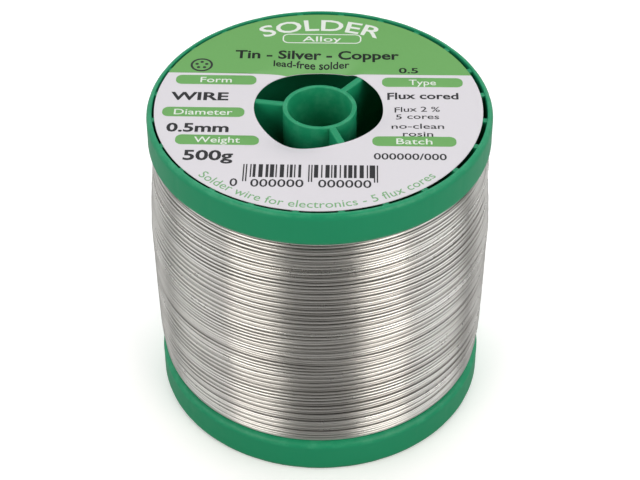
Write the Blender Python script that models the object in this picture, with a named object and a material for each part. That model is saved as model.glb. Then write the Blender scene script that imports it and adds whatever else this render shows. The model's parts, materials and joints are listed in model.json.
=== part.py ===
"""Solder wire spool, full of wire.

Two mirror-image plastic mouldings plug together at half height and form the spool: a ribbed flange,
half of the barrel and half of the spindle tube each. The winding fills the space between the flanges
and bulges past them. Its outer end lies free along the pack and lifts off it about a hinge; its inner
end comes out through a threading hole in the lower flange. A round paper label lies on the upper ribs.

Frame: metres, +Z up along the spool's axis, origin at the centre of the face it stands on. The label
reads upright from -Y. Azimuths are measured from +X towards +Y.
"""

import math

import bmesh
import bpy
from mathutils import Matrix, Vector

MM = 0.001

# Spool: the overall sizes of a small delivery spool with a 63 mm flange.
FLANGE_RADIUS = 31.5 * MM
SPOOL_HEIGHT = 63.0 * MM
FLANGE_HEIGHT = 7.0 * MM
BARREL_RADIUS = 20.0 * MM
BARREL_WALL = 1.6 * MM
BORE_RADIUS = 5.5 * MM
HUB_WALL = 1.25 * MM
HUB_RECESS = 0.3 * MM

# Flange: a rim, a web on the wire side, and radial ribs between the two.
RIM_WALL = 1.05 * MM
RIM_LAND = 0.25 * MM
RIM_FACE_ROUND = 1.25 * MM
RIM_WIRE_ROUND = 1.3 * MM
WEB_THICKNESS = 1.3 * MM
RIB_COUNT = 24
RIB_THICKNESS = 1.2 * MM
RIB_RECESS = 0.75 * MM
BARREL_RECESS = 0.65 * MM
FIRST_RIB_AZIMUTH = 7.0

# Spokes between the spindle tube and the barrel.
SPOKE_AZIMUTHS = (50.0, 170.0, 290.0)
SPOKE_THICKNESS = 1.35 * MM
SPOKE_RECESS = 0.8 * MM
SPOKE_END_GAP = 6.5 * MM

# Lap joint between the halves, at half height.
JOINT_GAP = 0.3 * MM
LAP_HEIGHT = 4.0 * MM
SPIGOT_WALL = 0.6 * MM

# Threading hole for the wire's inner end, close to the barrel and between two ribs.
START_HOLE_RADIUS = 1.0 * MM
START_HOLE_DISTANCE = 22.5 * MM
START_HOLE_AZIMUTH = 104.5

# Winding: outer radius at fractions of the winding width, fuller towards the lower flange.
PACK_GAP = 0.3 * MM
PACK_SHAPE = (
    (0.00, 30.5),
    (0.03, 31.2),
    (0.12, 31.7),
    (0.30, 31.9),
    (0.46, 32.0),
    (0.62, 32.15),
    (0.73, 31.9),
    (0.84, 31.45),
    (0.95, 31.0),
    (1.00, 30.6),
)

# Solder wire ends.
WIRE_RADIUS = 0.25 * MM
TAIL_GAP = 0.3 * MM
TAIL_HEIGHT = 50.0 * MM
TAIL_FROM_AZIMUTH = 20.0
TAIL_TO_AZIMUTH = 75.0
TAIL_TIP_LIFT = 0.9 * MM
START_END_TOP = 6.9 * MM
START_END_DEPTH = 2.6 * MM
START_END_BEND = 2.0 * MM
START_END_REACH = 28.5 * MM

# Label: a paper ring, a little off centre on the flange.
LABEL_RADIUS = 29.83 * MM
LABEL_HOLE_RADIUS = 11.75 * MM
LABEL_THICKNESS = 0.2 * MM
LABEL_GAP = 0.3 * MM
LABEL_OFFSET = -0.2 * MM

# Fineness of the round shapes.
ROUND_STEPS = 72
HUB_STEPS = 48
CORNER_STEPS = 4
HOLE_STEPS = 16
WIRE_SIDES = 10
TAIL_STEPS = 18
BEND_STEPS = 6
SMOOTH_ANGLE = math.radians(35.0)


def clear_scene():
    """Removes every object, so that the script can run again in the same file."""
    for item in list(bpy.data.objects):
        bpy.data.objects.remove(item)


def linear(byte):
    """One 8-bit sRGB value as a linear one."""
    value = byte / 255.0
    if value <= 0.04045:
        return value / 12.92
    return ((value + 0.055) / 1.055) ** 2.4


def make_material(name, srgb, roughness, metallic):
    """A Principled material in a plain colour."""
    material = bpy.data.materials.new(name)
    material.use_nodes = True
    shader = material.node_tree.nodes["Principled BSDF"]
    shader.inputs["Base Color"].default_value = (*[linear(byte) for byte in srgb], 1.0)
    shader.inputs["Roughness"].default_value = roughness
    shader.inputs["Metallic"].default_value = metallic
    return material


def finish_mesh(name, bm, material=None):
    """Turns a bmesh into a named object with outward faces and smooth rounds."""
    bmesh.ops.recalc_face_normals(bm, faces=bm.faces)
    mesh = bpy.data.meshes.new(name)
    bm.to_mesh(mesh)
    bm.free()
    mesh.shade_smooth()
    mesh.set_sharp_from_angle(angle=SMOOTH_ANGLE)
    if material:
        mesh.materials.append(material)
    item = bpy.data.objects.new(name, mesh)
    bpy.context.scene.collection.objects.link(item)
    return item


def lathe(name, outline, steps, material=None):
    """Turns a closed outline of (radius, height) points about Z."""
    bm = bmesh.new()
    points = [bm.verts.new((radius, 0.0, height)) for radius, height in outline]
    loop = [bm.edges.new((points[i - 1], points[i])) for i in range(len(points))]
    bmesh.ops.spin(
        bm,
        geom=points + loop,
        cent=(0.0, 0.0, 0.0),
        axis=(0.0, 0.0, 1.0),
        angle=math.tau,
        steps=steps,
        use_merge=True,
    )
    return finish_mesh(name, bm, material)


def corner_arc(centre, radial, axial, start, stop):
    """Points of a quarter ellipse in the (radius, depth) plane, angles in degrees."""
    arc = []
    for i in range(CORNER_STEPS + 1):
        angle = math.radians(start + (stop - start) * i / CORNER_STEPS)
        arc.append((centre[0] + radial * math.cos(angle), centre[1] + axial * math.sin(angle)))
    return arc


def add_radial_bar(bm, azimuth, inner, outer, thickness, low, high):
    """A box that runs outwards from radius inner to outer, between two heights."""
    size = Matrix.Diagonal((outer - inner, thickness, high - low, 1.0))
    place = Matrix.Translation(((inner + outer) / 2, 0.0, (low + high) / 2))
    turn = Matrix.Rotation(math.radians(azimuth), 4, "Z")
    bmesh.ops.create_cube(bm, size=1.0, matrix=turn @ place @ size)


def combine(item, tool, operation):
    """Adds a tool's shape to an item, or cuts it away, and hides the tool."""
    tool.hide_render = True
    tool.display_type = "WIRE"
    modifier = item.modifiers.new(tool.name, "BOOLEAN")
    modifier.operation = operation
    modifier.solver = "EXACT"
    modifier.object = tool


def polar(radius, azimuth, height):
    """A point from its radius, azimuth in degrees and height."""
    angle = math.radians(azimuth)
    return Vector((radius * math.cos(angle), radius * math.sin(angle), height))


def half_outline(has_spigot):
    """Section of one half as (radius, depth below its outer face): rim, web and barrel wall."""
    rim_inner = FLANGE_RADIUS - RIM_WALL
    land_end = rim_inner + RIM_LAND
    barrel_inner = BARREL_RADIUS - BARREL_WALL
    joint = (SPOOL_HEIGHT - JOINT_GAP) / 2
    face_round = corner_arc(
        (land_end, RIM_FACE_ROUND), FLANGE_RADIUS - land_end, -RIM_FACE_ROUND, 90.0, 0.0
    )
    wire_round = corner_arc(
        (FLANGE_RADIUS - RIM_WIRE_ROUND, FLANGE_HEIGHT - RIM_WIRE_ROUND),
        RIM_WIRE_ROUND, RIM_WIRE_ROUND, 0.0, 90.0,
    )
    if has_spigot:
        spigot = barrel_inner + SPIGOT_WALL
        lap = [(spigot, joint), (spigot, joint + LAP_HEIGHT), (barrel_inner, joint + LAP_HEIGHT)]
    else:
        socket = barrel_inner + SPIGOT_WALL + JOINT_GAP
        lap_end = joint - LAP_HEIGHT - 2 * JOINT_GAP
        lap = [(socket, joint), (socket, lap_end), (barrel_inner, lap_end)]
    return (
        [(rim_inner, 0.0)]
        + face_round
        + wire_round
        + [(BARREL_RADIUS, FLANGE_HEIGHT), (BARREL_RADIUS, joint)]
        + lap
        + [
            (barrel_inner, BARREL_RECESS),
            (BARREL_RADIUS, BARREL_RECESS),
            (BARREL_RADIUS, FLANGE_HEIGHT - WEB_THICKNESS),
            (rim_inner, FLANGE_HEIGHT - WEB_THICKNESS),
        ]
    )


def build_spool_half(name, is_upper, material):
    """One moulding: flange, half of the barrel and half of the spindle tube with its spokes."""

    def height(depth):
        return SPOOL_HEIGHT - depth if is_upper else depth

    def bars(bar_name, azimuths, inner, outer, thickness, depth_from, depth_to):
        bm = bmesh.new()
        low, high = sorted((height(depth_from), height(depth_to)))
        for azimuth in azimuths:
            add_radial_bar(bm, azimuth, inner, outer, thickness, low, high)
        return finish_mesh(bar_name, bm)

    joint = (SPOOL_HEIGHT - JOINT_GAP) / 2
    hub_radius = BORE_RADIUS + HUB_WALL
    barrel_middle = BARREL_RADIUS - BARREL_WALL / 2
    outline = [(radius, height(depth)) for radius, depth in half_outline(not is_upper)]
    half = lathe(name, outline, ROUND_STEPS, material)

    tube_outline = [
        (BORE_RADIUS, height(HUB_RECESS)),
        (hub_radius, height(HUB_RECESS)),
        (hub_radius, height(joint)),
        (BORE_RADIUS, height(joint)),
    ]
    tube = lathe(name + "_tube", tube_outline, HUB_STEPS)
    spokes = bars(
        name + "_spokes", SPOKE_AZIMUTHS, hub_radius - HUB_WALL / 2, barrel_middle,
        SPOKE_THICKNESS, SPOKE_RECESS, joint - SPOKE_END_GAP,
    )
    rib_azimuths = [FIRST_RIB_AZIMUTH + 360.0 * i / RIB_COUNT for i in range(RIB_COUNT)]
    ribs = bars(
        name + "_ribs", rib_azimuths, barrel_middle, FLANGE_RADIUS - RIM_WALL / 2,
        RIB_THICKNESS, RIB_RECESS, FLANGE_HEIGHT - WEB_THICKNESS / 2,
    )

    bm = bmesh.new()
    centre = polar(START_HOLE_DISTANCE, START_HOLE_AZIMUTH, height(FLANGE_HEIGHT - WEB_THICKNESS / 2))
    bmesh.ops.create_cone(
        bm, cap_ends=True, segments=HOLE_STEPS, radius1=START_HOLE_RADIUS,
        radius2=START_HOLE_RADIUS, depth=3 * WEB_THICKNESS, matrix=Matrix.Translation(centre),
    )
    start_hole = finish_mesh(name + "_start_hole", bm)

    combine(half, ribs, "UNION")
    combine(half, spokes, "UNION")
    combine(half, tube, "UNION")
    combine(half, start_hole, "DIFFERENCE")
    return half


def pack_radius(height):
    """Outer radius of the winding at a height, from the shape's points."""
    width = SPOOL_HEIGHT - 2 * FLANGE_HEIGHT
    share = min(max((height - FLANGE_HEIGHT) / width, 0.0), 1.0)
    for (share_a, radius_a), (share_b, radius_b) in zip(PACK_SHAPE, PACK_SHAPE[1:]):
        if share <= share_b:
            blend = (share - share_a) / (share_b - share_a)
            return (radius_a + blend * (radius_b - radius_a)) * MM
    return PACK_SHAPE[-1][1] * MM


def build_winding(material):
    """The wound wire as one ring, clear of the barrel and of both webs."""
    low = FLANGE_HEIGHT + PACK_GAP
    high = SPOOL_HEIGHT - FLANGE_HEIGHT - PACK_GAP
    inner = BARREL_RADIUS + PACK_GAP
    outline = [(inner, high), (inner, low)]
    for share, _radius in PACK_SHAPE:
        level = low + share * (high - low)
        outline.append((pack_radius(level), level))
    return lathe("wire_winding", outline, ROUND_STEPS, material)


def sweep_wire(name, points, material, origin):
    """A round wire along a line of points, capped at both ends, with its origin at a given place."""
    bm = bmesh.new()
    side = Vector((0.0, 0.0, 1.0))
    rings = []
    for i, point in enumerate(points):
        along = (points[min(i + 1, len(points) - 1)] - points[max(i - 1, 0)]).normalized()
        if abs(along.dot(side)) > 0.99:
            side = points[-1] - points[0]
        side = (side - along * side.dot(along)).normalized()
        other = along.cross(side)
        ring = []
        for k in range(WIRE_SIDES):
            angle = math.tau * k / WIRE_SIDES
            offset = (side * math.cos(angle) + other * math.sin(angle)) * WIRE_RADIUS
            ring.append(bm.verts.new(point + offset - origin))
        rings.append(ring)
    for ring_a, ring_b in zip(rings, rings[1:]):
        for k in range(WIRE_SIDES):
            bm.faces.new((ring_a[k - 1], ring_a[k], ring_b[k], ring_b[k - 1]))
    bm.faces.new(rings[0])
    bm.faces.new(rings[-1])
    wire = finish_mesh(name, bm, material)
    wire.location = origin
    return wire


def build_free_end(material):
    """The winding's last stretch, lying along the pack. Its origin is where it leaves the pack."""
    radius = pack_radius(TAIL_HEIGHT) + TAIL_GAP + WIRE_RADIUS
    points = []
    for i in range(TAIL_STEPS + 1):
        share = i / TAIL_STEPS
        azimuth = TAIL_FROM_AZIMUTH + share * (TAIL_TO_AZIMUTH - TAIL_FROM_AZIMUTH)
        points.append(polar(radius + TAIL_TIP_LIFT * share ** 2, azimuth, TAIL_HEIGHT))
    return sweep_wire("wire_free_end", points, material, points[0])


def build_start_end(material):
    """The wire's inner end: down through the lower threading hole, then outwards in its pocket."""
    points = [polar(START_HOLE_DISTANCE, START_HOLE_AZIMUTH, START_END_TOP)]
    for i in range(BEND_STEPS + 1):
        angle = math.radians(90.0 * i / BEND_STEPS)
        reach = START_HOLE_DISTANCE + START_END_BEND * (1.0 - math.cos(angle))
        drop = START_END_DEPTH + START_END_BEND * (1.0 - math.sin(angle))
        points.append(polar(reach, START_HOLE_AZIMUTH, drop))
    points.append(polar(START_END_REACH, START_HOLE_AZIMUTH, START_END_DEPTH))
    return sweep_wire("wire_start_end", points, material, points[0])


def build_label(material):
    """The round paper label, just above the rib tops and below the rim's face."""
    low = SPOOL_HEIGHT - BARREL_RECESS + LABEL_GAP
    high = low + LABEL_THICKNESS
    outline = [
        (LABEL_HOLE_RADIUS, low),
        (LABEL_RADIUS, low),
        (LABEL_RADIUS, high),
        (LABEL_HOLE_RADIUS, high),
    ]
    label = lathe("label", outline, ROUND_STEPS, material)
    label.location = (LABEL_OFFSET, 0.0, 0.0)
    return label


def build_spool():
    """Builds every piece of the spool."""
    clear_scene()
    plastic = make_material("green_plastic", (23, 135, 94), 0.35, 0.0)
    solder = make_material("solder_wire", (202, 201, 197), 0.35, 1.0)
    paper = make_material("label_paper", (203, 201, 207), 0.6, 0.0)
    build_spool_half("spool_half_upper", True, plastic)
    build_spool_half("spool_half_lower", False, plastic)
    build_winding(solder)
    build_free_end(solder)
    build_start_end(solder)
    build_label(paper)


build_spool()
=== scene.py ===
"""Looks of the solder wire spool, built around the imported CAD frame.

Every visible piece is made here as a fine mesh in the place its CAD node holds: the two spool mouldings,
the wound wire in layers of real turns, the wire's two ends, and the printed label. Lengths are in metres;
MM turns millimetres into metres. Azimuths run from +X towards +Y, and depths are measured from a flange's
outer face into the spool.
"""

import json
import math

import bmesh
import bpy
import numpy as np
from mathutils import Matrix, Quaternion, Vector
from mathutils.geometry import delaunay_2d_cdt


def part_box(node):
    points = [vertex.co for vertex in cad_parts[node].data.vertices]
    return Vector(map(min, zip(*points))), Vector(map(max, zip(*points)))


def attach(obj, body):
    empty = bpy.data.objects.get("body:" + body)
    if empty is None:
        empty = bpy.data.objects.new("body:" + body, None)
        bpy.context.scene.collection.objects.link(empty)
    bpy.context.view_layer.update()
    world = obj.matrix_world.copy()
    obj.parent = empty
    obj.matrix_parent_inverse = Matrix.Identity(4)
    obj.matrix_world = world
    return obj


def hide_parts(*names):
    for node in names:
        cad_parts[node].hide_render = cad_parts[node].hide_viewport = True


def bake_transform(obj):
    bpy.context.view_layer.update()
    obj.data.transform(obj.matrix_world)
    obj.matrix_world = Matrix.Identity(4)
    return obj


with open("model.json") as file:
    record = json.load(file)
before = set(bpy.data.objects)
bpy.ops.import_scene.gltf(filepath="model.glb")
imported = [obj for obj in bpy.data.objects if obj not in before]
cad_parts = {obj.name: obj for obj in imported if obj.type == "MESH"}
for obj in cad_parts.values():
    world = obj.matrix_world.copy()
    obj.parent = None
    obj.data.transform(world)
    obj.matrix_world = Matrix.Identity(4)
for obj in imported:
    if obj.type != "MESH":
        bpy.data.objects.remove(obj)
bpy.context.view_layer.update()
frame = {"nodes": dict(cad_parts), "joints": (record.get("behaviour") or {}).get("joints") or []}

MM = 0.001

# -------- sizes from the frame
HALF_LOW, HALF_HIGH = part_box("spool_half_upper")
WINDING_LOW, WINDING_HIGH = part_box("wire_winding")
LABEL_LOW, LABEL_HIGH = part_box("label")
TAIL_JOINT = frame["joints"][0]

FLANGE_RADIUS = (HALF_HIGH.x - HALF_LOW.x) / 2
SPOOL_HEIGHT = HALF_HIGH.z
PACK_GAP = 0.3 * MM
FLANGE_HEIGHT = WINDING_LOW.z - PACK_GAP
LABEL_RADIUS = (LABEL_HIGH.x - LABEL_LOW.x) / 2
LABEL_CENTRE = (LABEL_HIGH.x + LABEL_LOW.x) / 2

# -------- spool mouldings
RIM_INNER = FLANGE_RADIUS - 1.05 * MM
RIM_LAND_END = RIM_INNER + 0.25 * MM
RIM_FACE_ROUND = 1.25 * MM
RIM_WIRE_ROUND = 1.3 * MM
# The rim's inner edge: distance outwards from its wall, depth.
RIM_LIP = MM * np.array([(0.0, 0.7), (0.0, 0.3), (0.02, 0.08), (0.08, 0.0)])
BARREL_RADIUS = 20.0 * MM
BARREL_INNER = BARREL_RADIUS - 1.6 * MM
WEB_DEPTH = FLANGE_HEIGHT - 1.3 * MM
RIB_COUNT = 24
FIRST_RIB = math.radians(7.0)
RIB_RECESS = 0.28 * MM
# Section of a rib: distance from its middle line, depth below its edge.
RIB_PROFILE = MM * np.array([
    (0.0, 0.0), (0.25, 0.0), (0.48, 0.0), (0.56, 0.04), (0.60, 0.16),
    (0.63, 2.4), (0.67, 4.9), (0.74, 5.3), (0.90, 5.42),
])
WORN_FACE = 0.6 * MM
WORN_WIRE_SIDE = 1.2 * MM
# The rim sinks slightly over each rib, as moulded plastic does.
SINK_DEPTH = 0.035 * MM
SINK_WIDTH = 0.9 * MM
BORE_RADIUS = 5.5 * MM
HUB_RADIUS = 6.75 * MM
HUB_RECESS = 0.2 * MM
MOUTH_RADIUS = 5.88 * MM
MOUTH_DEPTH = 7.0 * MM
MOUTH_ROUND = 0.22 * MM
SPOKE_AZIMUTHS = tuple(math.radians(angle) for angle in (50.0, 170.0, 290.0))
SPOKE_HALF = 0.68 * MM
SPOKE_ROUND = 0.3 * MM
SPOKE_RECESS = 0.30 * MM
SPOKE_END_GAP = 6.5 * MM
SPOKE_ROOT = 0.6 * MM
JOINT_DEPTH = (SPOOL_HEIGHT - 0.1 * MM) / 2
LAP_HEIGHT = 4.0 * MM
SPIGOT_CHAMFER = (0.2 * MM, 0.3 * MM)
SOCKET_SPARE = 0.4 * MM
SPIGOT_RADIUS = BARREL_INNER + 0.7 * MM
SOCKET_RADIUS = BARREL_INNER + 0.8 * MM
START_HOLE_RADIUS = 1.0 * MM
START_HOLE_DISTANCE = 22.5 * MM
START_HOLE_AZIMUTH = math.radians(104.5)

# -------- wire
WIRE_RADIUS = 0.25 * MM
TURN_SPACING = 0.92 * MM
TURN_STEPS = 128
TURN_JITTER = 0.48 * MM
SLOW_WANDER = 0.66 * MM
TIGHTEST_TURNS = 0.505 * MM
OUTER_DEPTH = 0.15 * MM
SHALLOWEST_DROP = 0.14 * MM
LAYER_CLEARANCE = 0.02 * MM
LOWEST_TURN = FLANGE_HEIGHT + WIRE_RADIUS + 0.02 * MM
HIGHEST_TURN = SPOOL_HEIGHT - LOWEST_TURN
WINDING_SEED = 11
MEAN_LAYER_STEP = 0.30 * MM
RIPPLE = 0.04 * MM
# A layer's two ends dive under the turns beside them within a part of a turn.
END_DIVE = 0.5 * MM
END_DIVE_TURNS = 0.05
# The last turn comes to the free end's height and radius over these parts of a turn.
TAIL_CLIMB_TURNS = 0.6
TAIL_LEAD_TURNS = 0.10
# Heights above the free end between which the layers that nothing covers come up to the surface.
UNCOVERED_RISE = (0.3 * MM, 1.6 * MM)
TAIL_TIP_LIFT = 0.9 * MM
TAIL_SWEEP = math.radians(55.0)
START_END_TOP = 8.2 * MM
START_END_DEPTH = 2.6 * MM
START_END_BEND = 2.0 * MM
START_END_REACH = 28.5 * MM
FREE_END_TONE = 0.7
START_END_TONE = 0.4
FLUX_CORES = 5
FLUX_CORE_RADIUS = 0.05 * MM
FLUX_CORE_DISTANCE = 0.55 * WIRE_RADIUS
DRAW_ANISOTROPY = 0.8

# -------- label
LABEL_HOLE = 11.75 * MM
LABEL_THICKNESS = 0.12 * MM
# In millimetres: how far the green print runs past the label's edge, before it is trimmed there, and
# the straight lower border of the green print, from the label's centre.
BLEED = 0.3
GREEN_BORDER = 10.05
LABEL_TURN = math.radians(-1.3)
# Where the label sags between the spokes: azimuth, width and depth.
LABEL_SAG_LOBES = (
    (math.radians(92.0), math.radians(40.0), 1.1 * MM),
    (math.radians(240.0), math.radians(28.0), 1.3 * MM),
    (math.radians(350.0), math.radians(26.0), 0.7 * MM),
)
LABEL_SAG_END = 18.0 * MM
SAG_SPOKE_REACH = 3.2 * MM
SAG_POWER = 2.4
LABEL_BOTTOM = SPOOL_HEIGHT - RIB_RECESS + 0.02 * MM
# Ink or bare paper, its sRGB colour, roughness and gloss.
INKS = (
    ("paper", (203, 201, 207), 0.50, 0.5),
    ("green", (94, 155, 80), 0.42, 0.5),
    ("dark", (18, 18, 24), 0.42, 0.35),
    ("white", (210, 216, 210), 0.50, 0.5),
    ("pale", (108, 158, 110), 0.50, 0.5),
    ("black", (8, 16, 12), 0.42, 0.2),
)
# Field names in their green pills: text, centre, width of the text; all in millimetres.
FIELD_NAMES = (
    ("Form", (-19.1, 7.9), 5.8),
    ("Diameter", (-20.8, -2.1), 10.6),
    ("Weight", (-17.8, -10.3), 8.2),
    ("Type", (19.0, 7.7), 5.0),
    ("Batch", (17.2, -10.2), 6.4),
)
# Pills with round corners: width, height, corner radius.
FIELD_PILL = (14.9, 2.9, 1.2)
ALLOY_CENTRE = (0.2, 21.6)
ALLOY_PILLS = (((15.0, 3.1, 1.2), "white"), ((14.5, 2.6, 0.95), "green"))
# Text, centre, height of its capitals, width, ink, added boldness.
TEXT_LINES = (
    ("Alloy", (0.2, 21.5), 1.7, 7.4, "white", 0.008),
    ("Tin - Silver - Copper", (-0.6, 16.2), 2.7, 30.8, "black", 0.027),
    ("lead-free solder", (-1.6, 13.4), 1.85, 14.2, "black", 0.022),
    ("0.5", (16.5, 11.4), 1.7, 3.6, "black", 0.02),
    ("WIRE", (-21.8, 2.7), 2.5, 10.6, "dark", 0.03),
    ("0.5mm", (-21.5, -6.8), 2.6, 11.2, "dark", 0.03),
    ("500g", (-19.1, -14.8), 2.9, 8.8, "dark", 0.026),
    ("Flux cored", (19.0, 3.5), 2.0, 13.0, "dark", 0.025),
    ("Flux 2 %", (17.9, -0.6), 1.5, 8.2, "dark", 0.01),
    ("5 cores", (17.9, -2.8), 1.5, 7.8, "dark", 0.01),
    ("no-clean", (17.9, -5.7), 1.5, 9.4, "dark", 0.01),
    ("rosin", (17.9, -8.0), 1.5, 5.4, "dark", 0.01),
    ("000000/000", (16.4, -14.6), 1.8, 12.8, "dark", 0.015),
    ("0", (-14.2, -22.3), 2.1, 1.35, "dark", 0.012),
    ("000000", (-6.7, -22.4), 2.1, 9.2, "dark", 0.012),
    ("000000", (5.0, -22.4), 2.1, 9.2, "dark", 0.012),
)

# Bent text, radius, middle angle, span, height of its capitals, ink, boldness, tops outwards.
TITLE = ("SOLDER", 24.3, math.radians(90.0), math.radians(52), 3.65, "white", 0.015, True)
FOOT_LINE = (
    "Solder wire for electronics - 5 flux cores",
    29.0, math.radians(270.5), math.radians(91), 1.85, "pale", 0.006, False,
)

# -------- studio
LIGHT_DISTANCE = 0.8
WHITE = (1.0, 1.0, 1.0)
WARM = (1.0, 0.95, 0.89)
# Name, azimuth, elevation, azimuth span and elevation span in degrees, power, colour.
SOFTBOXES = (
    ("softbox_left", -42.0, 27.0, 28.0, 42.0, 2.6, WARM),
    ("softbox_left_side", -82.0, 32.0, 40.0, 46.0, 1.85, WHITE),
    ("softbox_left_back", -138.0, 18.0, 60.0, 30.0, 1.15, WHITE),
    ("softbox_right", 40.0, 27.0, 26.0, 42.0, 2.7, WARM),
    ("softbox_right_side", 78.0, 32.0, 40.0, 46.0, 2.15, WHITE),
    ("softbox_right_back", 138.0, 18.0, 60.0, 30.0, 1.25, WHITE),
    ("softbox_high", 180.0, 62.0, 60.0, 30.0, 3.2, WHITE),
)
SURROUND_STRENGTH = 0.18
FLOOR_BOUNCE = (0.4, 0.4, 0.4, 1.0)
FLOOR_GLOW = 0.14
CAMERA_DISTANCE = 351.0 * MM
CAMERA_ELEVATION = math.radians(40.6)
CAMERA_ROLL = math.radians(-0.16)
CAMERA_TARGET_HEIGHT = 30.85 * MM
CAMERA_LENS = 102.3

SMOOTH_ANGLE = math.radians(35.0)


# ======== mesh helpers
def new_object(name, data, material=None):
    """Puts a mesh, text, light or camera into the scene under a name."""
    item = bpy.data.objects.new(name, data)
    bpy.context.scene.collection.objects.link(item)
    if material:
        data.materials.append(material)
    return item


def mesh_from(bm, name):
    """Turns a bmesh into a named mesh, and frees it."""
    mesh = bpy.data.meshes.new(name)
    bm.to_mesh(mesh)
    bm.free()
    return mesh


def smooth(mesh):
    """Smooth shading that keeps sharp edges sharp."""
    mesh.shade_smooth()
    mesh.set_sharp_from_angle(angle=SMOOTH_ANGLE)


def add_attribute(mesh, name, values):
    """Stores one float per vertex under a name that materials read."""
    layer = mesh.attributes.new(name, "FLOAT", "POINT")
    layer.data.foreach_set("value", np.asarray(values, np.float32).ravel())


def grid_mesh(name, points, wrap_rows=False, caps=False):
    """Quads through an array of points [rows, columns, xyz] that closes along its columns."""
    rows, columns = points.shape[:2]
    row_count = rows if wrap_rows else rows - 1
    i, j = np.meshgrid(np.arange(row_count), np.arange(columns), indexing="ij")
    i_next = (i + 1) % rows
    j_next = (j + 1) % columns
    corners = (
        i * columns + j,
        i * columns + j_next,
        i_next * columns + j_next,
        i_next * columns + j,
    )
    faces = np.stack(corners, -1).reshape(-1, 4).tolist()
    if caps:
        faces.append(list(range(columns))[::-1])
        faces.append(list(range((rows - 1) * columns, rows * columns)))
    mesh = bpy.data.meshes.new(name)
    mesh.from_pydata(points.reshape(-1, 3).tolist(), [], faces)
    bm = bmesh.new()
    bm.from_mesh(mesh)
    bmesh.ops.recalc_face_normals(bm, faces=bm.faces)
    bm.to_mesh(mesh)
    bm.free()
    return mesh


def polar(radius, azimuth, height):
    """Points [..., xyz] from their distance to the axis, azimuth and height."""
    x, y = radius * np.cos(azimuth), radius * np.sin(azimuth)
    return np.stack(np.broadcast_arrays(x, y, height), -1)


def ring_points(outline, azimuths):
    """Points [outline, azimuths, xyz] of an outline of (radius, height) turned about Z."""
    outline = np.asarray(outline)
    return polar(outline[:, :1], azimuths, outline[:, 1:])


def even_azimuths(steps):
    """Azimuths evenly round the axis."""
    return np.arange(steps) * (math.tau / steps)


def arc(centre, radial, axial, start, stop, steps):
    """Points of part of an ellipse in a (radius, depth) plane, angles in degrees."""
    angles = np.radians(np.linspace(start, stop, steps + 1))
    return [(centre[0] + radial * math.cos(a), centre[1] + axial * math.sin(a)) for a in angles]


def rounded_top(low, high, depth, radius, steps):
    """The rounded outer edge of a wall between two radii, at a depth."""
    return (
        arc((low + radius, depth + radius), radius, -radius, 180, 90, steps)
        + arc((high - radius, depth + radius), radius, -radius, 90, 0, steps)
    )


def circle(centre, radius, steps, first=0.0):
    """Points evenly round a circle, from a first angle."""
    return [
        (centre[0] + radius * math.cos(a + first), centre[1] + radius * math.sin(a + first))
        for a in even_azimuths(steps)
    ]


def line(start, stop, steps):
    """Evenly spaced points from start to stop, without the last one."""
    shares = np.arange(steps) / steps
    return [tuple(np.asarray(start) * (1 - s) + np.asarray(stop) * s) for s in shares]


def tube_points(path, radius, sides, out_from_axis=True):
    """Rings of points round a path [n, xyz]. The first point of a ring faces away from the axis."""
    along = np.gradient(path, axis=0)
    along /= np.linalg.norm(along, axis=1)[:, None]
    if out_from_axis:
        out = path * (1.0, 1.0, 0.0)
    else:
        out = np.broadcast_to(np.cross(path[-1] - path[0], (0.0, 0.0, 1.0)), path.shape)
    out = out - along * (out * along).sum(1)[:, None]
    out /= np.linalg.norm(out, axis=1)[:, None]
    up = np.cross(along, out)
    angle = even_azimuths(sides)[None, :, None]
    return path[:, None, :] + radius * (
        np.cos(angle) * out[:, None, :] + np.sin(angle) * up[:, None, :]
    )


def evaluated_mesh(item):
    """A new mesh from what an object's modifiers or its text make."""
    graph = bpy.context.evaluated_depsgraph_get()
    return bpy.data.meshes.new_from_object(item.evaluated_get(graph))


def combine(item, tool, operation):
    """Joins or cuts an item with a tool mesh, and removes the tool."""
    modifier = item.modifiers.new(tool.name, "BOOLEAN")
    modifier.operation = operation
    modifier.solver = "EXACT"
    modifier.object = tool
    made = evaluated_mesh(item)
    item.modifiers.clear()
    item.data = made
    bpy.data.objects.remove(tool)


# ======== materials
def srgb(red, green, blue):
    """Linear colour from 8-bit sRGB values."""
    channels = []
    for byte in (red, green, blue):
        value = byte / 255.0
        channels.append(value / 12.92 if value <= 0.04045 else ((value + 0.055) / 1.055) ** 2.4)
    return (*channels, 1.0)


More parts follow.
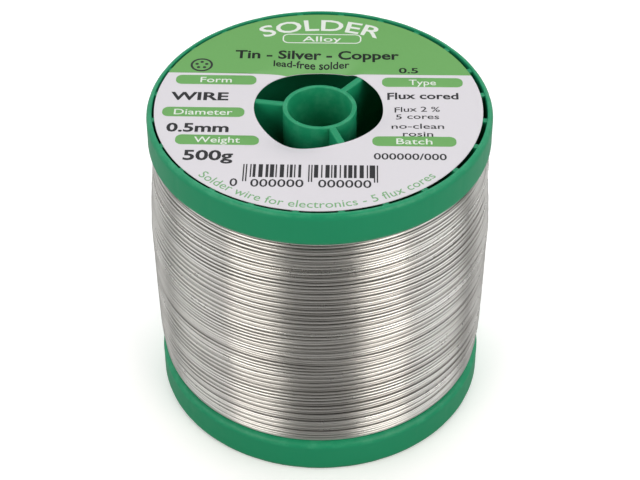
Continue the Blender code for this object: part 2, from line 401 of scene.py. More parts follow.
class NodeKit:
    """Short calls for building one material's nodes."""

    def __init__(self, name):
        self.material = bpy.data.materials.new(name)
        self.material.use_nodes = True
        self.tree = self.material.node_tree
        self.shader = self.tree.nodes["Principled BSDF"]

    def feed(self, socket, value):
        """Gives a socket a value, or links another node's output to it."""
        if isinstance(value, bpy.types.NodeSocket):
            self.tree.links.new(value, socket)
        else:
            socket.default_value = value

    def node(self, kind, values=None, **settings):
        """A new node, with what its inputs get and its settings."""
        made = self.tree.nodes.new(kind)
        for key, value in settings.items():
            setattr(made, key, value)
        for name, value in (values or {}).items():
            self.feed(made.inputs[name], value)
        return made

    def set(self, **inputs):
        """Feeds the shader's inputs."""
        for name, value in inputs.items():
            self.feed(self.shader.inputs[name.replace("_", " ")], value)

    def position(self, scale=(1, 1, 1)):
        """Object coordinates, stretched by a scale per axis."""
        place = self.node("ShaderNodeTexCoord").outputs["Object"]
        return self.node("ShaderNodeMapping", {"Vector": place, "Scale": scale}).outputs["Vector"]

    def noise(self, vector, scale, detail, roughness=0.5):
        values = {"Vector": vector, "Scale": scale, "Detail": detail, "Roughness": roughness}
        return self.node("ShaderNodeTexNoise", values).outputs["Fac"]

    def attribute(self, name):
        return self.node("ShaderNodeAttribute", attribute_name=name).outputs["Fac"]

    def spread(self, value, low, high, from_low=0.0, from_high=1.0):
        """Maps a value from one range to another."""
        values = {"From Min": from_low, "From Max": from_high, "To Min": low, "To Max": high}
        return self.node("ShaderNodeMapRange", {"Value": value, **values}).outputs["Result"]

    def math(self, operation, first, second):
        made = self.node("ShaderNodeMath", operation=operation)
        self.feed(made.inputs[0], first)
        self.feed(made.inputs[1], second)
        return made.outputs["Value"]

    def mix(self, factor, first, second):
        """Mixes two colours; each is a colour or a socket."""
        made = self.node("ShaderNodeMix", {"Factor": factor}, data_type="RGBA")
        self.feed(made.inputs[6], first)
        self.feed(made.inputs[7], second)
        return made.outputs[2]

    def bump(self, height, strength, distance):
        values = {"Height": height, "Strength": strength, "Distance": distance}
        self.set(Normal=self.node("ShaderNodeBump", values).outputs["Normal"])


def plastic_material():
    """Moulded green plastic: slight flow clouds, handling scuffs round the rims, a fine skin."""
    kit = NodeKit("green_plastic")
    cloud = kit.noise(kit.position(), 90.0, 2.0)
    scuff = kit.noise(kit.position(), 420.0, 4.0, 0.65)
    skin = kit.noise(kit.position(), 3500.0, 2.0)
    wear = kit.attribute("wear")
    body = kit.mix(cloud, srgb(20, 132, 91), srgb(26, 138, 96))
    scuffed = kit.spread(scuff, 0.0, 1.0, 0.55, 0.8)
    worn = kit.math("MULTIPLY", wear, kit.spread(scuff, 0.0, 0.18, 0.45, 0.75))
    kit.set(Base_Color=kit.mix(worn, body, srgb(104, 196, 156)))
    rough = kit.math("ADD", kit.spread(cloud, 0.34, 0.42), kit.math("MULTIPLY", scuffed, 0.06))
    kit.set(Roughness=rough, IOR=1.5, Specular_IOR_Level=0.25)
    kit.bump(skin, 0.25, 0.02 * MM)
    return kit.material


def wire_material(name, dull, bright):
    """Drawn tin alloy wire: bright satin metal, each turn a little different, faint draw lines."""
    kit = NodeKit(name)
    turn_tone = kit.attribute("turn_tone")
    blotch = kit.noise(kit.position(), 160.0, 3.0)
    fine = kit.noise(kit.position(), 700.0, 2.0)
    tone = kit.math("ADD", kit.math("MULTIPLY", turn_tone, 0.6), kit.math("MULTIPLY", blotch, 0.4))
    kit.set(Base_Color=kit.mix(tone, dull, bright))
    rough = kit.math("ADD", kit.spread(tone, 0.335, 0.245), kit.spread(fine, -0.03, 0.05))
    kit.set(Roughness=rough)
    along = kit.node("ShaderNodeVectorMath", operation="CROSS_PRODUCT")
    kit.feed(along.inputs[0], (0.0, 0.0, 1.0))
    kit.feed(along.inputs[1], kit.position())
    kit.set(Tangent=along.outputs["Vector"])
    kit.set(Metallic=1.0, Anisotropic=DRAW_ANISOTROPY, Anisotropic_Rotation=0.25)
    kit.bump(fine, 0.06, 0.01 * MM)
    return kit.material


def core_material():
    """The wire deep in the pack, seen only through gaps, coloured darker than the wire's metal: painted
    shade.
    """
    kit = NodeKit("solder_wire_deep_painted_shade")
    bands = kit.noise(kit.position((20, 20, 1500)), 1.0, 2.0)
    kit.set(Base_Color=kit.mix(bands, srgb(60, 56, 52), srgb(112, 106, 100)))
    kit.set(Metallic=0.8, Roughness=0.5)
    kit.bump(bands, 0.5, 0.2 * MM)
    return kit.material


def flux_material():
    """Amber rosin flux at the wire's cut ends."""
    kit = NodeKit("flux")
    grain = kit.noise(kit.position(), 9000.0, 2.0)
    kit.set(Base_Color=kit.mix(grain, srgb(120, 72, 22), srgb(186, 128, 52)), Roughness=0.25)
    return kit.material


def print_material(name, colour, roughness, gloss):
    """Paper, bare or printed: fibre mottling and a slight tooth."""
    kit = NodeKit(name)
    fibre = kit.noise(kit.position(), 1800.0, 4.0, 0.6)
    cloud = kit.noise(kit.position(), 70.0, 2.0)
    darker = tuple(channel * 0.93 for channel in colour[:3]) + (1.0,)
    kit.set(Base_Color=kit.mix(kit.math("MULTIPLY", fibre, cloud), colour, darker))
    kit.set(Roughness=kit.spread(fibre, roughness - 0.06, roughness + 0.06))
    kit.set(Specular_IOR_Level=gloss)
    kit.bump(fibre, 0.12, 0.01 * MM)
    return kit.material


def floor_material():
    """Plain pale studio floor, a little lit from below, that throws little light onto the spool."""
    kit = NodeKit("studio_floor")
    grain = kit.noise(kit.position(), 40.0, 2.0)
    seen = kit.mix(grain, srgb(251, 251, 252), srgb(253, 253, 253))
    is_seen = kit.node("ShaderNodeLightPath").outputs["Is Camera Ray"]
    kit.set(Base_Color=kit.mix(is_seen, FLOOR_BOUNCE, seen))
    kit.set(Emission_Strength=kit.math("MULTIPLY", is_seen, FLOOR_GLOW), Emission_Color=seen)
    kit.set(Roughness=0.8)
    return kit.material


# ======== spool mouldings
def flange_columns(radius):
    """Azimuths of the flange's columns at one radius, and each column's distance from its rib."""
    offsets = np.concatenate([-RIB_PROFILE[:0:-1, 0], RIB_PROFILE[:, 0]])
    pocket_shares = np.arange(1, 6) / 6.0
    edge = offsets[-1]
    sector = math.tau / RIB_COUNT
    azimuths, distances = [], []
    for k in range(RIB_COUNT):
        rib = FIRST_RIB + k * sector
        azimuths.append(rib + np.arcsin(offsets / radius))
        distances.append(np.abs(offsets))
        width = sector - 2 * math.asin(edge / radius)
        azimuths.append(rib + math.asin(edge / radius) + pocket_shares * width)
        distances.append(np.full(len(pocket_shares), np.inf))
    return np.concatenate(azimuths), np.concatenate(distances)


def deepest_allowed(distances):
    """How deep the open side of the flange may go at a distance from a rib's middle line."""
    depths = np.interp(distances, RIB_PROFILE[:, 0], RIB_PROFILE[:, 1] + RIB_RECESS)
    return np.where(np.isinf(distances), np.inf, depths)


def half_rows(has_spigot):
    """The section of one half as (radius, depth, is_open_side) rows, once round the section."""
    face_round = arc(
        (RIM_LAND_END, RIM_FACE_ROUND), FLANGE_RADIUS - RIM_LAND_END, -RIM_FACE_ROUND, 90, 0, 10
    )
    side = line((FLANGE_RADIUS, RIM_FACE_ROUND), (FLANGE_RADIUS, FLANGE_HEIGHT - RIM_WIRE_ROUND), 5)
    wire_round = arc(
        (FLANGE_RADIUS - RIM_WIRE_ROUND, FLANGE_HEIGHT - RIM_WIRE_ROUND),
        RIM_WIRE_ROUND, RIM_WIRE_ROUND, 0, 90, 8,
    )
    fillet = 0.5 * MM
    # Rows of the grid that only divide flat stretches.
    face_row, barrel_row, inner_row = 26.0 * MM, 12.0 * MM, 20.0 * MM
    first_web_row, last_web_row = 22.0 * MM, 29.0 * MM
    foot = arc((BARREL_RADIUS + fillet, FLANGE_HEIGHT + fillet), fillet, -fillet, 90, 180, 4)
    outside = (
        face_round + side[1:] + wire_round
        + line((face_row, FLANGE_HEIGHT), (BARREL_RADIUS + fillet, FLANGE_HEIGHT), 3)
        + foot + line((BARREL_RADIUS, barrel_row), (BARREL_RADIUS, JOINT_DEPTH), 4)
        + [(BARREL_RADIUS, JOINT_DEPTH)]
    )
    if has_spigot:
        end = JOINT_DEPTH + LAP_HEIGHT
        lap = [
            (SPIGOT_RADIUS, JOINT_DEPTH),
            (SPIGOT_RADIUS, end - SPIGOT_CHAMFER[1]),
            (SPIGOT_RADIUS - SPIGOT_CHAMFER[0], end),
            (BARREL_INNER, end),
        ]
    else:
        end = JOINT_DEPTH - LAP_HEIGHT - SOCKET_SPARE
        lap = [(SOCKET_RADIUS, JOINT_DEPTH), (SOCKET_RADIUS, end), (BARREL_INNER, end)]
    edge = 0.15 * MM
    inside = lap + line((BARREL_INNER, inner_row), (BARREL_INNER, RIB_RECESS + edge), 6)
    inside += rounded_top(BARREL_INNER, BARREL_RADIUS, RIB_RECESS, edge, 3)
    corner = 0.45 * MM
    draft = 0.1 * MM
    wall_top = (BARREL_RADIUS + 0.01 * MM, 1.0 * MM)
    open_side = line(wall_top, (BARREL_RADIUS + draft, WEB_DEPTH - corner), 4)
    open_side += arc(
        (BARREL_RADIUS + draft + corner, WEB_DEPTH - corner), corner, corner, 180, 90, 4
    )
    open_side += line((first_web_row, WEB_DEPTH), (last_web_row, WEB_DEPTH), 6)
    open_side += arc((RIM_INNER - draft - corner, WEB_DEPTH - corner), corner, corner, 90, 0, 4)
    wall_foot = WEB_DEPTH - corner - 0.5 * MM
    open_side += line((RIM_INNER - draft, wall_foot), (RIM_INNER, 0.9 * MM), 4)
    lip = [(RIM_INNER + out, depth) for out, depth in RIM_LIP]
    rows = [(r, d, False) for r, d in outside + inside]
    rows += [(r, d, True) for r, d in open_side]
    rows += [(r, d, False) for r, d in lip]
    return rows


def half_shell(name, is_upper, material):
    """Flange and barrel wall of one half as a closed grid, with its ribs moulded in."""
    rows, wear = [], []
    for radius, depth, is_open_side in half_rows(not is_upper):
        azimuths, distances = flange_columns(radius)
        depths = np.full(len(azimuths), depth)
        radii = np.full(len(azimuths), radius)
        if is_open_side:
            depths = np.minimum(depths, deepest_allowed(distances))
        elif radius > RIM_LAND_END and depth < FLANGE_HEIGHT - RIM_WIRE_ROUND:
            radii = radii - SINK_DEPTH * np.exp(-(distances / SINK_WIDTH) ** 2)
        heights = SPOOL_HEIGHT - depths if is_upper else depths
        rows.append(polar(radii, azimuths, heights))
        is_face = depth < WORN_FACE or abs(depth - FLANGE_HEIGHT) < WORN_WIRE_SIDE
        wear.append(np.full(len(azimuths), 1.0 if radius > RIM_INNER and is_face else 0.0))
    mesh = grid_mesh(name, np.array(rows), wrap_rows=True)
    add_attribute(mesh, "wear", np.array(wear))
    return new_object(name, mesh, material)


def hub_tube(name, is_upper, material):
    """Half of the spindle tube, with rounded mouth."""
    upper_row, lower_row = 8.0 * MM, 26.0 * MM
    outline = rounded_top(MOUTH_RADIUS, HUB_RADIUS, HUB_RECESS, MOUTH_ROUND, 4)
    outline += line((HUB_RADIUS, upper_row), (HUB_RADIUS, JOINT_DEPTH), 3)
    outline += [(HUB_RADIUS, JOINT_DEPTH), (BORE_RADIUS, JOINT_DEPTH)]
    outline += line((BORE_RADIUS, lower_row), (BORE_RADIUS, MOUTH_DEPTH), 3)
    outline += line((BORE_RADIUS, MOUTH_DEPTH), (MOUTH_RADIUS, HUB_RECESS + MOUTH_ROUND), 3)
    if is_upper:
        outline = [(radius, SPOOL_HEIGHT - depth) for radius, depth in outline]
    mesh = grid_mesh(name, ring_points(outline, even_azimuths(128)), wrap_rows=True)
    return new_object(name, mesh, material)


def spoke_bars(name, is_upper, material):
    """The three spokes of one half, with rounded outer edges."""
    end = JOINT_DEPTH - SPOKE_END_GAP
    top = rounded_top(-SPOKE_HALF, SPOKE_HALF, SPOKE_RECESS, SPOKE_ROUND, 4)
    profile = np.array([(-SPOKE_HALF, end), *top, (SPOKE_HALF, end)])
    heights = SPOOL_HEIGHT - profile[:, 1] if is_upper else profile[:, 1]
    distances = (HUB_RADIUS - SPOKE_ROOT, (BARREL_INNER + BARREL_RADIUS) / 2)
    joined = bmesh.new()
    for azimuth in SPOKE_AZIMUTHS:
        bar = np.array([
            np.stack([np.full(len(profile), distance), profile[:, 0], heights], -1)
            for distance in distances
        ])
        mesh = grid_mesh(name, bar, caps=True)
        mesh.transform(Matrix.Rotation(azimuth, 4, "Z"))
        joined.from_mesh(mesh)
        bpy.data.meshes.remove(mesh)
    return new_object(name, mesh_from(joined, name), material)


def start_hole_cutter(name, is_upper):
    """A round cutter through the web where the wire's inner end comes out."""
    middle = (FLANGE_HEIGHT + WEB_DEPTH) / 2
    height = SPOOL_HEIGHT - middle if is_upper else middle
    place = Vector(polar(START_HOLE_DISTANCE, START_HOLE_AZIMUTH, height))
    bm = bmesh.new()
    bmesh.ops.create_cone(
        bm, cap_ends=True, segments=32, radius1=START_HOLE_RADIUS, radius2=START_HOLE_RADIUS,
        depth=2.0 * MM, matrix=Matrix.Translation(place),
    )
    return new_object(name, mesh_from(bm, name))


def build_half(node, is_upper, material):
    """One complete moulding in place of its CAD node."""
    name = node + "_moulding"
    half = half_shell(name, is_upper, material)
    combine(half, hub_tube(name + "_tube", is_upper, material), "UNION")
    combine(half, spoke_bars(name + "_spokes", is_upper, material), "UNION")
    combine(half, start_hole_cutter(name + "_hole", is_upper), "DIFFERENCE")
    smooth(half.data)
    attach(half, "spool")
    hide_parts(node)


# ======== winding
def read_pack_outline():
    """Heights and radii of the CAD winding's outer surface, from its own mesh."""
    points = np.array([v.co for v in frame["nodes"]["wire_winding"].data.vertices])
    radii = np.hypot(points[:, 0], points[:, 1])
    heights = np.round(points[:, 2], 6)
    levels = np.unique(heights)
    return levels, np.array([radii[heights == level].max() for level in levels])


PACK_LEVELS, PACK_RADII = read_pack_outline()


def pack_radius(height):
    """Outer radius of the pack at a height."""
    return np.interp(height, PACK_LEVELS, PACK_RADII)


class Wander:
    """Smooth random offsets over azimuth and turn number; they join up from turn to turn."""

    STEEPNESS = 2.2

    def __init__(self, rng, knots, per_turn, harmonics):
        self.per_turn = per_turn
        shares = 1.0 / (1.0 + np.arange(harmonics))
        self.sizes = rng.uniform(-1.0, 1.0, (knots + 2, harmonics)) * shares / shares.sum() ** 0.5
        self.phases = rng.uniform(0.0, math.tau, (knots + 2, harmonics))

    def at(self, azimuth, turn):
        place = np.clip(turn * self.per_turn, 0, len(self.sizes) - 1.001)
        knot = np.floor(place).astype(int)
        share = place - knot
        share = share * share * (3.0 - 2.0 * share)
        total = np.zeros_like(azimuth)
        for k in range(self.sizes.shape[1]):
            before = self.sizes[knot, k] * np.cos(k * azimuth + self.phases[knot, k])
            after = self.sizes[knot + 1, k] * np.cos(k * azimuth + self.phases[knot + 1, k])
            total += before * (1.0 - share) + after * share
        return np.tanh(self.STEEPNESS * total)


def wire_object(name, path, sides, turns, rng, material):
    """A wire along a path, with a tone that changes from turn to turn."""
    points = tube_points(path, WIRE_RADIUS, sides)
    mesh = grid_mesh(name, points, caps=True)
    mesh.shade_smooth()
    tones = rng.uniform(0.0, 1.0, int(turns.max()) + 3)
    tone = np.interp(turns, np.arange(len(tones)), tones)
    add_attribute(mesh, "turn_tone", np.repeat(tone, sides))
    wire = new_object(name, mesh, material)
    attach(wire, "spool")
    return wire


def smoothstep(value, low, high):
    """0 below low, 1 above high, smooth between."""
    share = np.clip((value - low) / (high - low), 0.0, 1.0)
    return share * share * (3.0 - 2.0 * share)


def tail_start():
    """Radius, azimuth and height of the place where the free end leaves the pack."""
    x, y, z = TAIL_JOINT["pos_m"]
    return math.hypot(x, y), math.atan2(y, x), z


def lay_turns(rng):
    """Turn numbers and heights of an unevenly spaced layer that runs past both flanges."""
    low = LOWEST_TURN - 3 * TURN_SPACING
    count = round((HIGHEST_TURN + 3 * TURN_SPACING - low) / TURN_SPACING)
    turns = np.arange(count * TURN_STEPS + 1) / TURN_STEPS
    azimuth = math.tau * turns
    jitter = Wander(rng, count, 1.0, 4)
    slow = Wander(rng, count // 6, 1 / 6, 4)
    level = low + TURN_SPACING * turns
    level += TURN_JITTER * jitter.at(azimuth, turns) + SLOW_WANDER * slow.at(azimuth, turns)
    for first in range(TURN_STEPS, len(level), TURN_STEPS):
        turn = slice(first, first + TURN_STEPS)
        before = level[first - TURN_STEPS:first][:len(level[turn])]
        level[turn] = np.maximum(level[turn], before + TIGHTEST_TURNS)
    return turns, level


def between_flanges(turns, level, *others):
    """The part of a path between the flanges; its ends lie along them for half a turn."""
    spare = 0.5 * TURN_SPACING
    inside = np.flatnonzero((level > LOWEST_TURN - spare) & (level < HIGHEST_TURN + spare))
    kept = slice(inside[0], inside[-1] + 1)
    level = np.clip(level[kept], LOWEST_TURN, HIGHEST_TURN)
    return turns[kept], level, *(other[kept] for other in others)


def layer_path(turns, level, depth, rng):
    """Points of a layer whose wire lies a depth under the pack's outer surface."""
    _radius, start, _height = tail_start()
    azimuth = start + math.tau * turns
    ripple = Wander(rng, int(turns.max()) + 1, 1.0, 7)
    radius = pack_radius(level) - WIRE_RADIUS - depth
    radius = radius + RIPPLE * ripple.at(azimuth, turns)
    to_end = np.minimum(turns - turns.min(), turns.max() - turns)
    dive = 1.0 - smoothstep(to_end, 0.0, END_DIVE_TURNS)
    radius = radius - END_DIVE * dive
    return polar(radius, azimuth, level)


def between_turns(turns, level):
    """The path of the wire under a layer: halfway between its turns, and how much deeper it lies."""
    below, above = level[:-TURN_STEPS], level[TURN_STEPS:]
    half_gap = (above - below) / 2
    touching = 2 * WIRE_RADIUS + LAYER_CLEARANCE
    drop = np.sqrt(np.maximum(touching ** 2 - half_gap ** 2, SHALLOWEST_DROP ** 2))
    return turns[:-TURN_STEPS], (below + above) / 2, drop


def build_last_layer(turns, level, rng):
    """The outermost layer, up to where the wire leaves the pack as its free end."""
    tail_radius, _azimuth, tail_height = tail_start()
    turns, level = between_flanges(turns, level)
    at_tail = np.flatnonzero((np.round(turns * TURN_STEPS) % TURN_STEPS == 0) & (level < tail_height))
    stop = at_tail[-1] + 1
    turns, level = turns[:stop], level[:stop].copy()
    last = turns[-1]
    level += (tail_height - level[-1]) * smoothstep(turns, last - TAIL_CLIMB_TURNS, last)
    path = layer_path(turns, level, OUTER_DEPTH, rng)
    flat = np.hypot(path[:, 0], path[:, 1])
    lead = smoothstep(turns, last - TAIL_LEAD_TURNS, last)
    wanted = flat * (1.0 - lead) + tail_radius * lead
    wanted[lead > 0] = np.maximum(wanted[lead > 0], pack_radius(level[lead > 0]) - WIRE_RADIUS)
    path[:, :2] *= (wanted / flat)[:, None]
    return wire_object("wire_layer_outer", path, 12, turns, rng, SOLDER)


def brighten_above(layer, height):
    """Gives the turns that no outer layer covers the unshaded wire colour in place of the painted shade
    of the covered turns.
    """
    layer.data.materials.append(SOLDER)
    for face in layer.data.polygons:
        if face.center.z > height:
            face.material_index = 1


def build_pack_core():
    """The body of the pack under the modelled layers."""
    depth = 2 * MEAN_LAYER_STEP + 2 * WIRE_RADIUS
    low, high = WINDING_LOW.z, WINDING_HIGH.z
    levels = np.linspace(low, high, 40)
    outline = [(BARREL_RADIUS + PACK_GAP, high), (BARREL_RADIUS + PACK_GAP, low)]
    outline += [(float(pack_radius(level)) - depth, level) for level in levels]
    mesh = grid_mesh("wire_pack_core", ring_points(outline, even_azimuths(144)), wrap_rows=True)
    smooth(mesh)
    # The core's dark colour is painted shade of the deep wire.
    core = new_object("wire_pack_core", mesh, core_material())
    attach(core, "spool")


def build_winding():
    """The winding in place of its CAD node: three layers of turns over a plain core."""
    rng = np.random.default_rng(WINDING_SEED)
    tail_height = tail_start()[2]
    turns, level = lay_turns(rng)
    outer = build_last_layer(turns, level, rng)
    depth = np.full_like(level, OUTER_DEPTH)
    for name, sides, is_second in (("wire_layer_second", 12, True), ("wire_layer_third", 8, False)):
        turns, level, drop = between_turns(turns, level)
        depth = depth[:len(turns)] + drop
        uncovered = smoothstep(level - tail_height, *UNCOVERED_RISE)
        own_depth = np.maximum(depth - uncovered * MEAN_LAYER_STEP, OUTER_DEPTH)
        own_turns, own_level, own_depth = between_flanges(turns, level, own_depth)
        path = layer_path(own_turns, own_level, own_depth, rng)
        # Covered turns get the darker copy of the wire colour: painted shade from the turns lying over
        # them.
        layer = wire_object(name, path, sides, own_turns, rng, SOLDER_PAINTED_SHADE)
        if is_second:
            brighten_above(layer, tail_height)
    build_pack_core()
    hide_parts("wire_winding")


# ======== wire ends
def build_free_end():
    """The free end: it bends smoothly out of the last turn."""
    radius, start, height = tail_start()
    shares = np.linspace(0.0, 1.0, 121)
    azimuth = start + shares * TAIL_SWEEP
    distance = radius + TAIL_TIP_LIFT * shares ** 2
    path = polar(distance, azimuth, height)
    mesh = grid_mesh("wire_free_end_bent", tube_points(path, WIRE_RADIUS, 16), caps=True)
    smooth(mesh)
    add_attribute(mesh, "turn_tone", np.full(len(mesh.vertices), FREE_END_TONE))
    tail = new_object("wire_free_end_bent", mesh, SOLDER)
    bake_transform(tail)
    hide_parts("wire_free_end")
    add_flux_dots("flux_cores_free_end", path[-1], path[-1] - path[-2], "free_end")


def build_start_end():
    """The inner end: down through the threading hole, then outwards in its pocket."""
    centre = (START_HOLE_DISTANCE + START_END_BEND, START_END_DEPTH + START_END_BEND)
    drop = np.linspace(START_END_TOP, centre[1] + 0.3 * MM, 8)
    outline = [(START_HOLE_DISTANCE, level) for level in drop]
    outline += arc(centre, -START_END_BEND, -START_END_BEND, 0, 90, 12)
    reach = np.linspace(centre[0] + 0.4 * MM, START_END_REACH, 14)
    wave, radians_per_metre = 0.12 * MM, 700.0
    outline += [(r, START_END_DEPTH + wave * math.sin(r * radians_per_metre)) for r in reach]
    outline = np.array(outline)
    path = polar(outline[:, 0], START_HOLE_AZIMUTH, outline[:, 1])
    points = tube_points(path, WIRE_RADIUS, 16, out_from_axis=False)
    mesh = grid_mesh("wire_start_end_bent", points, caps=True)
    smooth(mesh)
    add_attribute(mesh, "turn_tone", np.full(len(mesh.vertices), START_END_TONE))
    start_end = new_object("wire_start_end_bent", mesh, SOLDER)
    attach(start_end, "spool")
    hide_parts("wire_start_end")
    add_flux_dots("flux_cores_start_end", path[-1], path[-1] - path[-2], "spool")


def add_flux_dots(name, tip, direction, body):
    """The flux cores where they show in a cut face: short pegs, almost flush."""
    turn = Vector(direction).to_track_quat("Z", "Y").to_matrix().to_4x4()
    joined = bmesh.new()
    for x, y in circle((0.0, 0.0), FLUX_CORE_DISTANCE, FLUX_CORES):
        place = Matrix.Translation(Vector(tip)) @ turn @ Matrix.Translation((x, y, 0.0))
        bmesh.ops.create_cone(
            joined, cap_ends=True, segments=12, radius1=FLUX_CORE_RADIUS,
            radius2=0.9 * FLUX_CORE_RADIUS, depth=0.02 * MM, matrix=place,
        )
    dots = new_object(name, mesh_from(joined, name), FLUX)
    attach(dots, body)


# ======== label
class Print:
    """Collects the label's printed shapes as triangles with an ink each, later ones on top."""

    def __init__(self):
        self.points = []
        self.faces = []
        self.inks = []

    def add(self, points, faces, ink):
        first = len(self.points)
        self.points.extend((float(x), float(y)) for x, y in points)
        for face in faces:
            corners = [points[i] for i in face]
            area = sum(
                a[0] * b[1] - b[0] * a[1] for a, b in zip(corners, corners[1:] + corners[:1])
            )
            ordered = face if area > 0 else face[::-1]
            self.faces.append([first + i for i in ordered])
            self.inks.append(ink)

    def polygon(self, points, ink):
        self.add(points, [list(range(len(points)))], ink)


def rounded_box(centre, width, height, corner, steps=6):
    """Outline of a box with round corners."""
    points = []
    quarter = math.pi / 2
    for k, (sign_x, sign_y) in enumerate(((1, 1), (-1, 1), (-1, -1), (1, -1))):
        middle_x = centre[0] + sign_x * (width / 2 - corner)
        middle_y = centre[1] + sign_y * (height / 2 - corner)
        for i in range(steps + 1):
            angle = k * quarter + quarter * i / steps
            points.append((middle_x + corner * math.cos(angle), middle_y + corner * math.sin(angle)))
    return points


def letter_shapes(text, weight):
    """A line of text as flat triangles, centred, with capitals one unit high."""
    def flat_mesh(body):
        curve = bpy.data.curves.new("letters", "FONT")
        curve.body = body
        curve.offset = weight
        curve.resolution_u = 3
        curve.align_x = "CENTER"
        item = new_object("letters", curve)
        mesh = evaluated_mesh(item)
        bpy.data.objects.remove(item)
        points = np.array([v.co[:2] for v in mesh.vertices])
        faces = [list(face.vertices) for face in mesh.polygons]
        return points, faces

    capital, _faces = flat_mesh("H")
    base, top = capital[:, 1].min(), capital[:, 1].max()
    points, faces = flat_mesh(text)
    points = points - ((points[:, 0].min() + points[:, 0].max()) / 2, base)
    return points / (top - base), faces


def print_line(sheet, text, centre, cap_height, width, ink, weight):
    """A straight line of text, its capitals centred on a point."""
    points, faces = letter_shapes(text, weight)
    stretch = width / (points[:, 0].max() - points[:, 0].min())
    x = centre[0] + points[:, 0] * stretch
    y = centre[1] + (points[:, 1] - 0.5) * cap_height
    sheet.add(list(zip(x, y)), faces, ink)


def print_arc(sheet, text, radius, middle, span, cap_height, ink, weight, tops_outwards):
    """A line of text bent along a circle about the label's centre."""
    points, faces = letter_shapes(text, weight)
    along = points[:, 0] / (points[:, 0].max() - points[:, 0].min()) * span
    outwards = 1 if tops_outwards else -1
    angle = middle - outwards * along
    distance = radius + outwards * points[:, 1] * cap_height
    sheet.add(list(zip(distance * np.cos(angle), distance * np.sin(angle))), faces, ink)


def print_bars(sheet, centre, width, top, bottom, guard_bottom):
    """A row of bars of uneven width that stands for a bar code and encodes nothing."""
    modules = 95
    unit = width / modules

    def bar(module, size, foot):
        start = centre - width / 2 + module * unit
        stop = start + size * unit
        sheet.polygon([(start, foot), (stop, foot), (stop, top), (start, top)], "dark")

    for guard in (0, 2, 46, 48, 92, 94):
        bar(guard, 1, guard_bottom)
    middle_guard = (43, 51)
    module, last_module, k = 5, 90, 0
    while module < last_module:
        size = 1 + (k * 7 + k // 3) % 3
        if not middle_guard[0] < module + size / 2 < middle_guard[1]:
            bar(module, size, bottom)
        module += size + 1 + (k * 5 + k // 2) % 2
        k += 1


def print_wire_symbol(sheet, centre, radius):
    """A plain pictogram of a wire's section: a ring with a dot for each flux core."""
    sheet.polygon(circle(centre, radius, 48), "dark")
    sheet.polygon(circle(centre, 0.80 * radius, 48), "green")
    for middle in circle(centre, 0.45 * radius, FLUX_CORES, math.pi / 2):
        sheet.polygon(circle(middle, 0.16 * radius, 16), "dark")


def label_print():
    """Everything printed on the label, in millimetres about its centre."""
    sheet = Print()
    radius = LABEL_RADIUS / MM + BLEED
    half_angle = math.acos(GREEN_BORDER / radius)
    green = [
        (radius * math.sin(a), radius * math.cos(a))
        for a in np.linspace(half_angle, -half_angle, 97)
    ]
    sheet.polygon(green, "green")

    for text, centre, width in FIELD_NAMES:
        sheet.polygon(rounded_box(centre, *FIELD_PILL), "green")
        print_line(sheet, text, centre, cap_height=1.65, width=width, ink="white", weight=0.006)
    for pill, ink in ALLOY_PILLS:
        sheet.polygon(rounded_box(ALLOY_CENTRE, *pill), ink)

    print_arc(sheet, *TITLE)
    print_wire_symbol(sheet, centre=(-22.1, 12.6), radius=2.1)
    for text_line in TEXT_LINES:
        print_line(sheet, *text_line)

    print_bars(sheet, centre=-1.0, width=23.5, top=-17.2, bottom=-20.8, guard_bottom=-22.0)
    print_arc(sheet, *FOOT_LINE)
    return sheet


def label_surface(x, y):
    """Height of the label's upper side: inside the barrel it sags between the spokes."""
    radius = np.hypot(x, y)
    azimuth = np.arctan2(y, x)
    reach = np.clip((LABEL_SAG_END - radius) / (LABEL_SAG_END - LABEL_HOLE), 0.0, 1.0)
    sag = np.zeros_like(radius)
    for middle, width, depth in LABEL_SAG_LOBES:
        away = (azimuth - middle + math.pi) % math.tau - math.pi
        sag += depth * np.exp(-(away / width) ** 2)
    for spoke in SPOKE_AZIMUTHS:
        away = (azimuth - spoke + math.pi) % math.tau - math.pi
        sag *= smoothstep(np.abs(away) * radius, SPOKE_HALF, SAG_SPOKE_REACH)
    return LABEL_BOTTOM + LABEL_THICKNESS - sag * reach ** SAG_POWER


def label_outline_points():
    """The label's two edges and a net of points between them, in millimetres."""
    middle = (0.0, 0.0)
    outer = circle(middle, LABEL_RADIUS / MM, 240)
    inner = circle(middle, LABEL_HOLE / MM, 144)
    net = []
    net_steps = 96
    for k, radius in enumerate(np.arange(LABEL_HOLE / MM + 0.9, LABEL_RADIUS / MM - 0.8, 1.0)):
        shift = (k % 2) * 0.5 * math.tau / net_steps
        net += circle(middle, radius, net_steps, shift)
    return outer, inner, net


def inks_at(sheet, spots):
    """The ink that lies on top at each spot of the label; paper where nothing is printed."""
    inks = np.full(len(spots), "paper", dtype=object)
    for face, ink in zip(sheet.faces, sheet.inks):
        corners = np.array([sheet.points[i] for i in face])
        near = np.all((spots > corners.min(0)) & (spots < corners.max(0)), axis=1)
        chosen = np.flatnonzero(near)
        for a, b in zip(corners, np.roll(corners, -1, axis=0)):
            side = (b[0] - a[0]) * (spots[chosen, 1] - a[1]) - (b[1] - a[1]) * (spots[chosen, 0] - a[0])
            chosen = chosen[side > 0]
        inks[chosen] = ink
    return inks


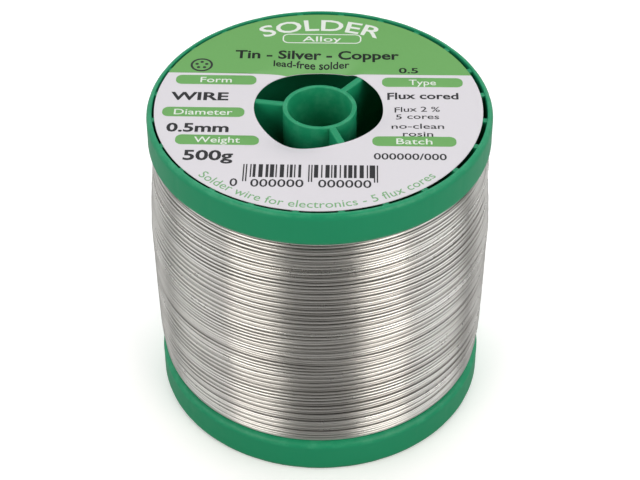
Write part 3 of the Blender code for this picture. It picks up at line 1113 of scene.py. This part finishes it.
def triangulate_label(sheet):
    """Cuts the label's ring into triangles that follow every printed edge, with an ink for each."""
    outer, inner, net = label_outline_points()
    points = [Vector(p) for p in outer + inner + net + sheet.points]
    first_inner, first_printed = len(outer), len(outer + inner + net)
    loops = [list(range(first_inner)), list(range(first_inner, first_inner + len(inner)))]
    loops += [[first_printed + i for i in face] for face in sheet.faces]
    edges = [edge for loop in loops for edge in zip(loop, loop[1:] + loop[:1])]
    all_triangles, tolerance = 0, 1e-5
    made = delaunay_2d_cdt(points, edges, [], all_triangles, tolerance, False)
    corners = np.array([tuple(p) for p in made[0]])
    triangles = np.array([list(triangle) for triangle in made[2]])
    middles = corners[triangles].mean(1)
    distance = np.hypot(middles[:, 0], middles[:, 1])
    on_label = (distance > LABEL_HOLE / MM) & (distance < LABEL_RADIUS / MM)
    inks = inks_at(sheet, middles[on_label])
    return corners * MM, triangles[on_label], inks.tolist()


def build_label():
    """The printed paper ring: one closed sheet, lying on the ribs and sagging at the hole."""
    corners, triangles, inks = triangulate_label(label_print())
    used, numbers = np.unique(triangles, return_inverse=True)
    flat = corners[used]
    turn, shift = LABEL_TURN, LABEL_CENTRE
    x = flat[:, 0] * math.cos(turn) - flat[:, 1] * math.sin(turn) + shift
    y = flat[:, 0] * math.sin(turn) + flat[:, 1] * math.cos(turn)
    top = np.stack([x, y, label_surface(x, y)], -1)
    bottom = top - (0.0, 0.0, LABEL_THICKNESS)
    count = len(used)
    upper = numbers.reshape(-1, 3).tolist()
    upper = [t if signed_area(x, y, t) > 0 else t[::-1] for t in upper]
    lower = [[i + count for i in triangle[::-1]] for triangle in upper]
    seen = {(t[k], t[(k + 1) % 3]) for t in upper for k in range(3)}
    rim = [(a, b) for a, b in seen if (b, a) not in seen]
    sides = [[a, a + count, b + count, b] for a, b in sorted(rim)]
    mesh = bpy.data.meshes.new("label_printed")
    mesh.from_pydata(np.concatenate([top, bottom]).tolist(), [], upper + lower + sides)
    for name, colour, roughness, gloss in INKS:
        mesh.materials.append(print_material("label_" + name, srgb(*colour), roughness, gloss))
    slots = {ink[0]: k for k, ink in enumerate(INKS)}
    indices = [slots[ink] for ink in inks] + [0] * (len(lower) + len(sides))
    mesh.polygons.foreach_set("material_index", indices)
    smooth(mesh)
    label = new_object("label_printed", mesh)
    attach(label, "spool")
    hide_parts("label")


def signed_area(x, y, triangle):
    """Twice the signed area of a triangle of vertex numbers."""
    a, b, c = triangle
    return (x[b] - x[a]) * (y[c] - y[a]) - (x[c] - x[a]) * (y[b] - y[a])


# ======== studio
def build_floor():
    """A large pale floor."""
    size = 3.0
    mesh = bpy.data.meshes.new("studio_floor")
    mesh.from_pydata(
        [(-size, -size, 0.0), (size, -size, 0.0), (size, size, 0.0), (-size, size, 0.0)],
        [], [(0, 1, 2, 3)],
    )
    floor = new_object("studio_floor", mesh, floor_material())


def add_softbox(name, azimuth, elevation, azimuth_span, elevation_span, watts, colour):
    """An area light that faces the spool. Azimuth 0 is the camera's side, positive to its right."""
    light = bpy.data.lights.new(name, "AREA")
    light.shape = "RECTANGLE"
    light.size = 2 * LIGHT_DISTANCE * math.tan(math.radians(azimuth_span / 2))
    light.size_y = 2 * LIGHT_DISTANCE * math.tan(math.radians(elevation_span / 2))
    light.energy = watts
    light.color = colour
    item = new_object(name, light)
    a, e = math.radians(azimuth), math.radians(elevation)
    away = Vector((math.sin(a) * math.cos(e), -math.cos(a) * math.cos(e), math.sin(e)))
    target = Vector((0.0, 0.0, SPOOL_HEIGHT / 2))
    item.location = target + away * LIGHT_DISTANCE
    item.rotation_mode = "QUATERNION"
    item.rotation_quaternion = away.to_track_quat("Z", "Y")


def build_studio():
    """Soft light from both sides and above, a pale surround, and the camera."""
    build_floor()
    for softbox in SOFTBOXES:
        add_softbox(*softbox)
    world = bpy.data.worlds.new("studio")
    world.use_nodes = True
    background = world.node_tree.nodes["Background"]
    background.inputs["Color"].default_value = (1.0, 1.0, 1.0, 1.0)
    background.inputs["Strength"].default_value = SURROUND_STRENGTH
    scene = bpy.context.scene
    scene.world = world
    scene.view_settings.view_transform = "Standard"

    camera_data = bpy.data.cameras.new("camera")
    camera_data.sensor_width = 36.0
    camera_data.lens = CAMERA_LENS
    camera = new_object("camera", camera_data)
    back = Vector((0.0, -math.cos(CAMERA_ELEVATION), math.sin(CAMERA_ELEVATION)))
    camera.location = Vector((0.0, 0.0, CAMERA_TARGET_HEIGHT)) + back * CAMERA_DISTANCE
    camera.rotation_mode = "QUATERNION"
    roll = Quaternion((0.0, 0.0, 1.0), CAMERA_ROLL)
    camera.rotation_quaternion = back.to_track_quat("Z", "Y") @ roll
    scene.camera = camera


PLASTIC = plastic_material()
SOLDER = wire_material("solder_wire", srgb(190, 188, 184), srgb(226, 225, 221))
# A darker copy of the wire colour for the lower layers: painted shade where outer turns cover them.
SOLDER_PAINTED_SHADE = wire_material("solder_wire_painted_shade", srgb(156, 154, 150), srgb(198, 196, 192))
FLUX = flux_material()

build_half("spool_half_upper", True, PLASTIC)
build_half("spool_half_lower", False, PLASTIC)
build_winding()
build_free_end()
build_start_end()
build_label()
build_studio()
